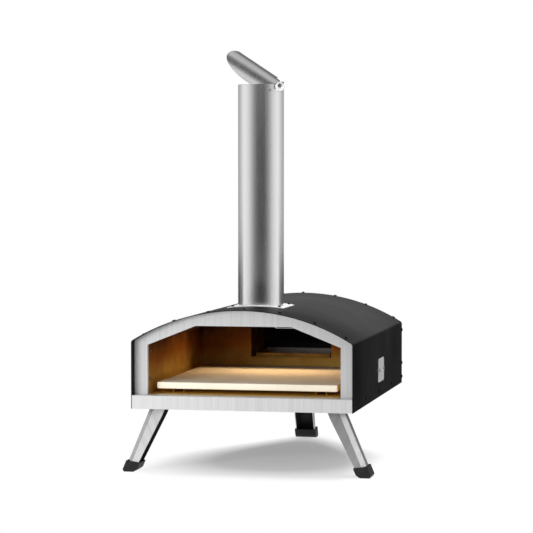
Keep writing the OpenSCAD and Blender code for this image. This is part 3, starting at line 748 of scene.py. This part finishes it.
@dataclass
class SubAssembly:
    """A part of the oven that is built and dressed as one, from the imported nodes."""

    nodes: dict[str, Piece]
    finishes: dict[Slot, Material]
    pieces: dict[str, Piece] = field(default_factory=dict)
    edges: ClassVar[Edges] = {}

    def build(self) -> None:
        """Makes the pieces that keep their node's own shape."""
        for slot, widths in self.edges.items():
            for node, width in widths.items():
                self.refine(node, slot, width * MM)

    def dress(self) -> None:
        """Gives each piece the finish of its slot."""
        for piece in self.pieces.values():
            dress(piece, self.finishes[Slot(piece["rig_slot"])])

    def enlist(self, piece: Piece, like: str, slot: Slot, stands_for: bool = True) -> None:
        """Keeps a finished piece and puts it on a node's body.

        Args:
            piece: The piece, at rest.
            like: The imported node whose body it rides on.
            slot: The record's material slot for its finish.
            stands_for: Whether it takes that node's place.
        """
        body = self.nodes[like]["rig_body"]
        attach(piece, body)
        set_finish(piece, slot.value)
        if stands_for:
            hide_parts(like)
        self.pieces[piece.name.removesuffix("_piece")] = piece
        LOG.info("%s on %s: %d faces", piece.name, body, len(piece.data.polygons))

    def form(self, node: str, work: Shape, slot: Slot, width: float, **rounding: float) -> None:
        """Makes a piece with rounded edges in place of a node.

        Args:
            node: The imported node.
            work: The piece's shape, which this frees.
            slot: The record's material slot for its finish.
            width: Reach of the rounding, in metres.
            rounding: What else soften takes.
        """
        piece = new_piece(node + "_piece", plain_mesh(node, work))
        soften(piece, width, **rounding)
        self.enlist(piece, node, slot)

    def refine(self, node: str, slot: Slot, width: float, segments: int = 2) -> None:
        """Makes a piece from a node's own shape, with its edges rounded."""
        self.form(node, welded(self.nodes[node].data), slot, width, segments=segments)

    def tops(self, node: str) -> list[Seat]:
        """Returns the largest flat face of each solid in a node, as its middle and its normal."""
        work = welded(self.nodes[node].data)
        seats: list[Seat] = []
        found: set[bmesh.types.BMVert] = set()
        for start in work.verts:
            if start in found:
                continue
            solid = [start]
            found.add(start)
            for vert in solid:
                near = [edge.other_vert(vert) for edge in vert.link_edges]
                new_or_lit = [other for other in near if other not in found]
                solid.extend(new_or_lit)
                found.update(new_or_lit)
            faces = (face for vert in solid for face in vert.link_faces)
            widest = max(faces, key=bmesh.types.BMFace.calc_area)
            seats.append(Seat(widest.calc_center_median().copy(), widest.normal.copy()))
        work.free()
        return seats


@dataclass
class Casing(SubAssembly):
    """The black outer shell, its base pan, rear panel and blank badge."""

    edges: ClassVar[Edges] = {
        Slot.BLACK_COAT: {"outer_shell": 0.3, "base_pan": 0.4, "rear_panel": 0.4},
        Slot.BRUSHED_PANEL: {"side_badge": 0.35},
        Slot.CERAMIC_WOOL: {"insulation_blanket": 1.0},
    }


@dataclass
class Front(SubAssembly):
    """The brushed arch panel round the mouth and the apron under it."""

    edges: ClassVar[Edges] = {
        Slot.BRUSHED_PANEL: {"front_arch": 0.35, "front_apron": 0.4},
    }


@dataclass
class Chamber(SubAssembly):
    """The heat tinted chamber: liner, floor, back wall, firebox and the rails under the stone."""

    edges: ClassVar[Edges] = {
        Slot.TINTED_STEEL: {
            "inner_liner": 0.25, "inner_floor": 0.3, "back_wall": 0.3, "firebox": 0.3,
            "stone_rail_left": 0.3, "stone_rail_right": 0.3, "tray_runner_left": 0.3,
            "tray_runner_right": 0.3,
        },
        Slot.CERAMIC_WOOL: {"base_board": 0.8},
    }


@dataclass
class HearthStone(SubAssembly):
    """The cream baking stone, with chamfered edges."""

    chamfer: float = 1.8 * MM

    def build(self) -> None:
        """Makes the stone."""
        self.refine("pizza_stone", Slot.CORDIERITE, self.chamfer, 3)


@dataclass
class FuelDrawer(SubAssembly):
    """The perforated fuel tray with its face plate, bent wire handle and ribbed grip."""

    edges: ClassVar[Edges] = {
        Slot.TINTED_STEEL: {"fuel_tray": 0.2},
        Slot.BRUSHED_PANEL: {"tray_face": 0.4},
    }
    wire_radius: float = 3.0 * MM
    bend: float = 8.0 * MM
    grip_radius: float = 7.6 * MM
    grip_margin: float = 11.0 * MM
    grip_nose: float = 2.0 * MM
    rib_rise: float = 0.7 * MM
    rib_count: int = 9
    rib_step: float = 7.0 * MM

    def build(self) -> None:
        """Makes the tray and its face, then bends the handle and moulds its grip."""
        super().build()
        low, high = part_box("tray_handle")
        level = (low.z + high.z) / 2
        half, bar = high.x - self.wire_radius, high.y - self.wire_radius
        turn = arc((half - self.bend, bar - self.bend), self.bend, 0.0, 90.0, 8)
        right = [Vector((x, y, level)) for x, y in [(half, low.y), *turn]]
        left = [Vector((-point.x, point.y, point.z)) for point in reversed(right)]
        wire = swept_wire(right + left, self.wire_radius)
        self.form("tray_handle", wire, Slot.BRIGHT_WIRE, 0.3 * MM)
        self.mould_grip(half - self.grip_margin, Vector((0.0, bar, level)))

    def mould_grip(self, half: float, middle: Vector) -> None:
        """Makes the grip and its ribs round the handle's bar.

        Args:
            half: Half of the grip's length.
            middle: The middle of the bar.
        """
        radius, nose = self.grip_radius - self.rib_rise, self.grip_nose
        ends = [(x, y) for y, x in arc((half - nose, radius - nose), nose, 0.0, 90.0, 4)]
        profile = [(0.0, -half), *[(r, -h) for r, h in ends], *reversed(ends), (0.0, half)]
        grip = lathe(profile, Seat(middle, Vector((1.0, 0.0, 0.0))))
        self.form("handle_grip", grip, Slot.BLACK_GRIP, 0.2 * MM, angle=40.0)
        ribs = new_piece("handle_grip_ribs", bpy.data.meshes.new("handle_grip_ribs"))
        rib_recipe().make(
            ribs,
            self.finishes[Slot.BLACK_GRIP],
            Ring_Radius=radius,
            Rise=self.rib_rise,
            Step=self.rib_step,
            Count=self.rib_count,
            Centre=(-self.rib_step * (self.rib_count - 1) / 2, middle.y, middle.z),
        )
        self.enlist(ribs, "handle_grip", Slot.BLACK_GRIP, stands_for=False)


@dataclass
class FuelChute(SubAssembly):
    """The fuel chute at the back with its hinged lid, hinge pin and knob, turned in millimetres."""

    edges: ClassVar[Edges] = {
        Slot.BLACK_COAT: {"fuel_chute": 0.35, "chute_lid": 0.35},
        Slot.BRIGHT_WIRE: {"lid_pin": 0.3},
    }
    knob: ClassVar[tuple[Point, ...]] = (
        *((0.0, 0.0), (4.6, 0.0), (4.6, 0.8), (3.4, 2.6), (3.4, 5.6), (6.4, 8.2)),
        *arc((6.2, 11.6), 1.8, -50.0, 60.0, 6),
        *((3.6, 15.3), (0.0, 15.8)),
    )

    def build(self) -> None:
        """Makes the chute and lid, then turns the knob from its radii and heights."""
        super().build()
        profile = [(radius * MM, height * MM) for radius, height in self.knob]
        (top,) = self.tops("lid_knob")
        foot = top.point - top.normal * profile[-1][1]
        knob = lathe(profile, Seat(foot, top.normal))
        self.form("lid_knob", knob, Slot.BLACK_GRIP, 0.25 * MM, angle=40.0)


@dataclass
class Flue(SubAssembly):
    """The flue's roof plate, collar and tall pipe."""

    edges: ClassVar[Edges] = {
        Slot.BRUSHED_PANEL: {"flue_plate": 0.3, "cap_bracket": 0.4},
        Slot.BRUSHED_TUBE: {"flue_collar": 0.3},
        Slot.BRIGHT_WIRE: {"cap_pin": 0.3, "cap_nut": 0.4},
    }
    wall: float = 1.0 * MM

    def build(self) -> None:
        """Makes the plate, collar and cap hinge, then rolls the pipe."""
        super().build()
        low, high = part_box("flue_pipe")
        pipe = new_piece("flue_pipe_piece", bpy.data.meshes.new("flue_pipe"))
        tube_recipe().make(
            pipe,
            self.finishes[Slot.BRUSHED_TUBE],
            Middle_Radius=(high.x - low.x) / 2 - self.wall / 2,
            Wall=self.wall,
            Length=high.z - low.z,
            Centre=tuple((low + high) / 2),
        )
        even_shading(pipe)
        self.enlist(pipe, "flue_pipe", Slot.BRUSHED_TUBE)

    def dress(self) -> None:
        """Gives the roof plate and the bracket's ear a pale satin plate."""
        super().dress()
        pale = satin("satin_plate")
        dress(self.pieces["flue_plate"], pale)
        middle = sum(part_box("cap_bracket"), Vector()).x / 2
        bracket = self.pieces["cap_bracket"]
        dress(bracket, self.finishes[Slot.BRUSHED_TUBE], pale)
        for face in bracket.data.polygons:
            face.material_index = int(abs(face.normal.y) > 0.98 and face.center.x > middle)


@dataclass
class RainCap(SubAssembly):
    """The hinged cap over the flue and the strap that carries it."""

    edges: ClassVar[Edges] = {
        Slot.BRUSHED_TUBE: {"rain_cap": 0.3},
        Slot.BRUSHED_PANEL: {"cap_yoke": 0.3},
    }
    slope: float = 33.5

    def dress(self) -> None:
        """Gives the cap steel brushed along its slope."""
        super().dress()
        slope = math.radians(self.slope)
        along = (-math.cos(slope), 0.0, math.sin(slope))
        look = {"roughness": 0.24, "streak": 0.03, "anisotropy": 0.5, "relief": 0.02}
        way = {"grain": Grain.ACROSS, "gloss_along": along, "turn": (0.0, slope, 0.0)}
        steel = BrushedSteel("brushed_cap", color=(0.74, 0.74, 0.75), **look, **way)
        dress(self.pieces["rain_cap"], steel.material())
        dress(self.pieces["cap_yoke"], satin("satin_strap"))


@dataclass
class Legs(SubAssembly):
    """Three folding legs of bent sheet, their brackets and pins, and rubber feet."""

    places: ClassVar[tuple[str, ...]] = ("left", "right", "rear")
    ways: ClassVar[tuple[Point, ...]] = ((-1.0, 0.0), (1.0, 0.0), (0.0, 1.0))
    # Painted light and shade: each leg's flat and corner faces get lighter or darker copies of its
    # steel, as the light falls on that leg, and its folds a darker one.
    painted_shades: ClassVar[tuple[Point, ...]] = ((0.62, 0.43), (0.31, 0.74), (0.58, 0.58))
    faces: ClassVar[tuple[str, ...]] = ("flat", "corner", "fold")
    fold_painted_shade: float = 0.24
    corner_facing: Point = (0.6, 0.8)
    fold_facing: Point = (0.15, 0.97)
    splay: float = 22.7
    foot_rounding: float = 1.6 * MM

    def build(self) -> None:
        """Makes each leg with what carries it and what it stands on."""
        rows = (
            ("leg_", Slot.BRUSHED_LEG, 0.5 * MM, 2),
            ("leg_bracket_", Slot.BRUSHED_LEG, 0.35 * MM, 2),
            ("leg_pin_", Slot.BRIGHT_WIRE, 0.35 * MM, 2),
            ("foot_", Slot.BLACK_RUBBER, self.foot_rounding, 3),
        )
        for place in self.places:
            for stem, slot, width, segments in rows:
                self.refine(stem + place, slot, width, segments)

    def dress(self) -> None:
        """Gives each leg its own steel, in lighter and darker copies by the way its faces look as
        painted light and shade, and a painted shadow inside its channel.
        """
        super().dress()
        # Painted shadow: a near-black copy for the faces inside each channel, which is only in
        # shade.
        black = Plated("leg_inside", (0.02, 0.02, 0.021), 0.5, 0.5).material()
        lean = math.radians(self.splay)
        for place, (x, y), painted_shades in zip(self.places, self.ways, self.painted_shades):
            turn = (lean * y, -lean * x, 0.0)
            names = [f"brushed_leg_{place}_{part}" for part in self.faces]
            # Painted light and shade: lighter and darker copies of the steel for this leg's faces.
            colors = [(painted_level, painted_level, painted_level * 1.01) for painted_level in (*painted_shades, self.fold_painted_shade)]
            steels = [
                BrushedSteel(name, color=color, turn=turn, **LEG_LOOK).material()
                for name, color in zip(names, colors)
            ]
            leg = self.pieces["leg_" + place]
            dress(leg, *steels, black)
            low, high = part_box("leg_pin_" + place)
            pivot, way = (low + high) / 2, Vector((x, y, 0.0))
            down = Vector((0.0, 0.0, -1.0))
            along = way * math.sin(lean) + down * math.cos(lean)
            outward = way * math.cos(lean) - down * math.sin(lean)
            for face in leg.data.polygons:
                inward = pivot - face.center
                inward -= along * inward.dot(along)
                inside = face.normal.dot(inward) > 1.0 * MM
                face.material_index = len(steels) if inside else self.part_of(face, outward)

    def part_of(self, face: bpy.types.MeshPolygon, outward: Vector) -> int:
        """Returns where a leg's face stands in the row of faces, by how far it looks outwards."""
        facing = face.normal.dot(outward)
        bends = (self.corner_facing, self.fold_facing)
        return next((place for place, (low, high) in enumerate(bends, 1) if low < facing < high), 0)


@dataclass
class Fasteners(SubAssembly):
    """Screws and rivets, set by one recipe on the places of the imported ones."""

    head_radius: float = 3.4 * MM
    head_height: float = 2.0 * MM
    recess: float = 0.8 * MM
    plain_recess: float = 0.01 * MM
    dark: ClassVar[tuple[str, ...]] = ("roof_screws", "side_screws", "plate_screws", "rear_screws")
    bright: ClassVar[tuple[str, ...]] = ("floor_screws", "wall_screws", "badge_rivets")

    def build(self) -> None:
        """Sets the heads of every group."""
        recipe = screw_recipe()
        for node in (*self.dark, *self.bright):
            slot = Slot.DARK_SCREW if node in self.dark else Slot.BRIGHT_WIRE
            seats = self.tops(node)
            roots = [seat.point - seat.normal * self.head_height for seat in seats]
            mesh = bpy.data.meshes.new(node)
            mesh.from_pydata(roots, [], [])
            facing = mesh.attributes.new("facing", "FLOAT_VECTOR", "POINT")
            facing.data.foreach_set("vector", [part for seat in seats for part in seat.normal])
            piece = new_piece(node + "_piece", mesh)
            recipe.make(
                piece,
                self.finishes[slot],
                Head_Radius=self.head_radius,
                Head_Height=self.head_height,
                Recess_Width=self.plain_recess if node == "badge_rivets" else self.recess,
            )
            self.enlist(piece, node, slot)


# The studio


class Lamp(NamedTuple):
    """A soft box: where it hangs, what it faces, its size in metres, its watts and its tint."""

    name: str
    place: Place
    target: Place
    width: float
    height: float
    power: float
    color: Color = WHITE


@dataclass
class Studio:
    """A pale floor, soft lamps, cards that only reflections show, and the camera."""

    camera_place: Place = (0.8345, -4.0824, 0.5356)
    camera_yaw: float = 11.833
    camera_pitch: float = 2.414
    lens: float = 148.26
    ambient: float = 0.5
    floor_reach: float = 14.0
    floor_gray: float = 0.9
    screen_radius: float = 0.85
    screen_top: float = 1.6
    screen_bands: ClassVar[tuple[Point, ...]] = (
        *((0.0, 0.4), (0.17, 0.52), (0.33, 0.8), (0.46, 1.0), (0.59, 0.93), (0.69, 0.82)),
        *((0.78, 0.66), (0.86, 0.42), (0.915, 0.24), (0.96, 0.12), (1.0, 0.04)),
    )
    ceiling_bands: ClassVar[tuple[Point, ...]] = (
        *((0.0, 0.3), (0.45, 0.55), (0.6, 0.76), (0.67, 0.36), (0.73, 0.01)),
        *((0.92, 0.01), (1.0, 0.7)),
    )
    lamps: ClassVar[tuple[Lamp, ...]] = (
        Lamp("over", (0.1, 0.1, 2.3), (0.0, 0.0, 0.1), 1.6, 1.4, 66.0),
        Lamp("left", (-1.9, -2.4, 1.1), (0.0, -0.1, 0.15), 1.6, 1.4, 12.0),
        Lamp("right", (2.2, 0.9, 0.7), (0.0, -0.1, 0.1), 1.0, 0.7, 18.0),
        Lamp("mouth", (-0.5, -1.2, 0.34), (0.0, 0.0, 0.2), 0.5, 0.3, 8.5),
        Lamp("embers", (0.0, 0.02, 0.25), (0.0, -0.22, 0.16), 0.24, 0.05, 0.34, EMBER),
    )

    def build(self) -> None:
        """Makes the whole studio."""
        bpy.context.scene.view_settings.view_transform = "Standard"
        self.light_world()
        self.lay_floor()
        self.set_camera()
        self.hang_lamps()
        self.stand_cards()

    def light_world(self) -> None:
        """Makes a world that lights evenly and shows white behind the object."""
        world = bpy.data.worlds.new("studio")
        bpy.context.scene.world = world
        world.use_nodes = True
        tree = NodeTree(world.node_tree)
        rays = tree.add("ShaderNodeLightPath").outputs
        seen = tree.math("MAXIMUM", rays["Is Camera Ray"], rays["Is Glossy Ray"])
        seen = tree.math("MAXIMUM", seen, rays["Is Transmission Ray"])
        level = tree.add("ShaderNodeMapRange", Value=seen, To_Min=self.ambient, To_Max=1.0)
        strength = level.outputs["Result"]
        sky = tree.add("ShaderNodeBackground", Color=gray(1.0), Strength=strength)
        tree.add("ShaderNodeOutputWorld", Surface=sky.outputs["Background"])

    def lay_floor(self) -> None:
        """Lays a white floor whose soft shadow is cut by painted light to a lobe under the oven, and
        which fades into the background.
        """
        graph = ShaderGraph("white_floor")
        lit = graph.add("ShaderNodeBsdfDiffuse", Color=gray(self.floor_gray), Roughness=0.0)
        white = graph.add("ShaderNodeEmission", Color=gray(1.0), Strength=1.0)
        # Painted light: beyond a lobe under the oven, narrower towards the back, the floor glows
        # white over its real shadow; inside the lobe a faint glow still lifts it.
        width = graph.sum(0.19, graph.along("Y"), -0.45)
        reach = graph.add("ShaderNodeCombineXYZ", X=width, Y=0.36, Z=1.0)
        shadow_lobe = graph.vector_math("DIVIDE", graph.place, reach.outputs["Vector"])
        offset = graph.vector_math("SUBTRACT", shadow_lobe, (0.1, 0.0, 0.0))
        distance = graph.vector_math("LENGTH", offset, result="Value")
        painted_light = graph.span(distance, 0.18, 1.0, 0.58, 1.12)
        mixed = graph.add("ShaderNodeMixShader", Fac=painted_light)
        for socket, surface in zip(mixed.inputs[1:], (lit, white)):
            graph.feed(socket, surface.outputs[0])
        graph.add("ShaderNodeOutputMaterial", Surface=mixed.outputs[0])
        far = self.floor_reach
        corners = [(-far, -far, 0.0), (far, -far, 0.0), (far, far, 0.0), (-far, far, 0.0)]
        self.card("floor", corners, [(0, 1, 2, 3)], graph.material)

    def set_camera(self) -> None:
        """Sets the camera."""
        data = bpy.data.cameras.new("camera")
        data.lens = self.lens
        data.sensor_width = 36.0
        data.clip_end = 60.0
        camera = new_piece("camera", data)
        camera.location = self.camera_place
        tilt = math.radians(90.0 - self.camera_pitch)
        camera.rotation_euler = (tilt, 0.0, math.radians(self.camera_yaw))
        bpy.context.scene.camera = camera

    def hang_lamps(self) -> None:
        """Hangs the soft boxes round the oven and a small warm one under the chamber's roof."""
        for row in self.lamps:
            light = bpy.data.lights.new(row.name, "AREA")
            light.shape = "RECTANGLE"
            light.size, light.size_y = row.width, row.height
            light.energy = row.power
            light.color = row.color
            lamp = new_piece(row.name, light)
            lamp.location = row.place
            aim = Vector(row.target) - Vector(row.place)
            lamp.rotation_euler = aim.to_track_quat("-Z", "Y").to_euler()
            hide(lamp, "glossy", "camera")

    def round_screen(self) -> Material:
        """Returns a glow in upright bands, lit above on the side that the camera is on."""
        graph = ShaderGraph("round_screen")
        yaw = math.radians(self.camera_yaw)
        flat = graph.vector_math("MULTIPLY", graph.place, (1.0, 1.0, 0.0))
        aim = graph.vector_math("NORMALIZE", flat)
        front = (math.sin(yaw), -math.cos(yaw), 0.0)
        facing = graph.vector_math("DOT_PRODUCT", aim, front, result="Value")
        turn = graph.span(facing, 0.0, 1.0, -1.0, 1.0)
        bands = graph.shades(turn, WHITE, *self.screen_bands)
        top = graph.blend(graph.span(turn, 0.0, 1.0, 0.35, 0.6), gray(0.18), gray(0.86))
        rise = graph.span(graph.along("Z"), 0.0, 1.0, 0.9, 1.07)
        return graph.glow(graph.blend(rise, bands, top))

    def ceiling(self) -> Material:
        """Returns a glow in bands across the corner that faces the camera."""
        graph = ShaderGraph("ceiling")
        diagonal = (0.707, -0.707, 0.0)
        slant = graph.vector_math("DOT_PRODUCT", graph.place, diagonal, result="Value")
        across = graph.span(slant, 0.0, 1.0, -self.screen_radius, self.screen_radius)
        return graph.glow(graph.shades(across, WHITE, *self.ceiling_bands))

    def stand_cards(self) -> None:
        """Stands screens round and over the flue, and a dark backdrop behind the oven."""
        screen, ceiling = self.round_screen(), self.ceiling()
        dark = ShaderGraph("dark_backdrop").glow(gray(0.03))
        low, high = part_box("flue_pipe")
        flue, middle = tuple((low + high).xy / 2), (0.0, 0.0)
        near, top = self.screen_radius, self.screen_top
        ahead = (self.camera_yaw - 90.0, 100.0)
        behind = (self.camera_yaw + 90.0, 80.0)
        self.band("flue_screen", flue, (near, 0.1), (near, top), ahead, screen)
        self.band("rear_screen", flue, (near, 0.34), (near, top), behind, screen)
        self.band("ceiling", flue, (0.002, top), (near, top), (0.0, 180.0), ceiling)
        self.band("floor_ring", flue, (0.4, 0.004), (near, 0.004), ahead, screen)
        self.band("backdrop", middle, (5.0, 0.0), (5.0, 2.6), behind, dark)
        self.band("back_floor", middle, (0.42, 0.003), (5.0, 0.003), behind, dark)

    def band(
        self, name: str, centre: Point, start: Point, end: Point, sector: Point, finish: Material
    ) -> None:
        """Makes a round band that only glossy reflections show.

        Args:
            name: The band's name.
            centre: Its middle on the floor.
            start: Radius and height of one rim.
            end: Radius and height of the other rim.
            sector: Azimuth of its middle and the reach to each side, in degrees.
            finish: Its finish.
        """
        steps = 96
        middle, half = sector
        verts = [
            (x, y, height)
            for radius, height in (start, end)
            for x, y in arc((0.0, 0.0), radius, middle - half, middle + half, steps)
        ]
        row = steps + 1
        faces = [(step, step + 1, step + 1 + row, step + row) for step in range(steps)]
        shown = self.card(name, verts, faces, finish)
        shown.location = (*centre, 0.0)
        hide(shown, "camera", "diffuse", "shadow", "transmission")

    def card(
        self, name: str, verts: Sequence[Place], faces: Sequence[Sequence[int]], finish: Material
    ) -> Piece:
        """Returns a new piece of the studio, at the origin."""
        mesh = bpy.data.meshes.new(name)
        mesh.from_pydata(verts, [], faces)
        mesh.materials.append(finish)
        shown = new_piece(name, mesh)
        return shown


def all_finishes() -> dict[Slot, Material]:
    """Returns the finish of every slot."""
    floor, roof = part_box("inner_floor")[1].z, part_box("inner_liner")[1].z
    panel = {"roughness": 0.36, "streak": 0.09, "metallic": 0.5}
    tube = {"roughness": 0.25, "streak": 0.025, "anisotropy": 0.7, "relief": 0.02}
    tube["gloss_along"] = Grain.UPRIGHT.value
    finishes = {
        Slot.BLACK_COAT: PowderCoat(),
        Slot.BRUSHED_PANEL: BrushedSteel("brushed_panel", color=(0.67, 0.67, 0.67), **panel),
        Slot.BRUSHED_TUBE: BrushedSteel("brushed_tube", color=(0.8, 0.8, 0.81), **tube),
        Slot.BRUSHED_LEG: BrushedSteel("brushed_leg", color=(0.58, 0.58, 0.59), **LEG_LOOK),
        Slot.TINTED_STEEL: HeatTint(floor, roof),
        Slot.BRIGHT_WIRE: Plated("bright_plate"),
        Slot.DARK_SCREW: Plated("black_oxide", (0.016, 0.016, 0.017), 0.48, 0.5),
        Slot.CORDIERITE: Cordierite(),
        Slot.CERAMIC_WOOL: CeramicWool(),
        Slot.BLACK_RUBBER: Moulded("moulded_rubber"),
        Slot.BLACK_GRIP: Moulded("moulded_resin", roughness=0.45, grain=1400.0),
    }
    return {slot: finish.material() for slot, finish in finishes.items()}


PARTS = (Casing, Front, Chamber, HearthStone, FuelDrawer, FuelChute, Flue, RainCap, Legs, Fasteners)


def main() -> None:
    """Builds the oven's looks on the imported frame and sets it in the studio."""
    logging.basicConfig(level=logging.INFO, format="%(message)s")
    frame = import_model()
    finishes = all_finishes()
    for kind in PARTS:
        part = kind(frame["nodes"], finishes)
        part.build()
        part.dress()
        LOG.info("%s: %d pieces", kind.__name__, len(part.pieces))
    Studio().build()


if __name__ == "__main__":
    main()
